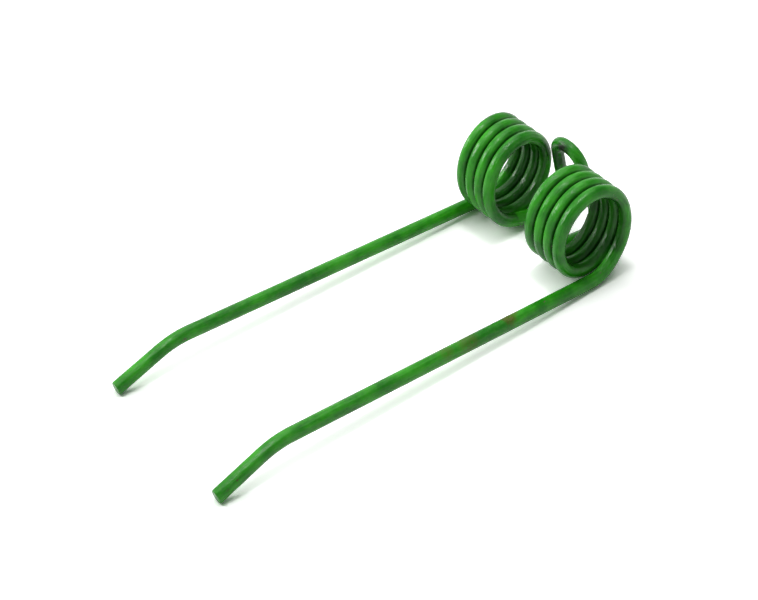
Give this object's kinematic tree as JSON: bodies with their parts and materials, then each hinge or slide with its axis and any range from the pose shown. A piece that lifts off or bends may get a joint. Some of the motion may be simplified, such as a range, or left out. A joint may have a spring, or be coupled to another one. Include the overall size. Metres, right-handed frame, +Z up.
{
  "type": "pickup tine",
  "caption": "Double pickup tine bent from one round spring steel wire: coils side by side, a hairpin loop between them for the bolt, and long straight arms with tips bent down.",
  "frame": {"origin": "middle of the bounding box at its bottom, on the surface that the tine lies on", "axes": "+X along the coils' common axis, +Y from the tips towards the hairpin loop, +Z up from the surface"},
  "size_m": [0.0744, 0.2176, 0.0435],
  "materials": {
    "painted_wire": "semi-gloss green paint over spring steel, worn in spots"
  },
  "bodies": {
    "root": {"spring_tine": "painted_wire"}
  },
  "joints": []
}
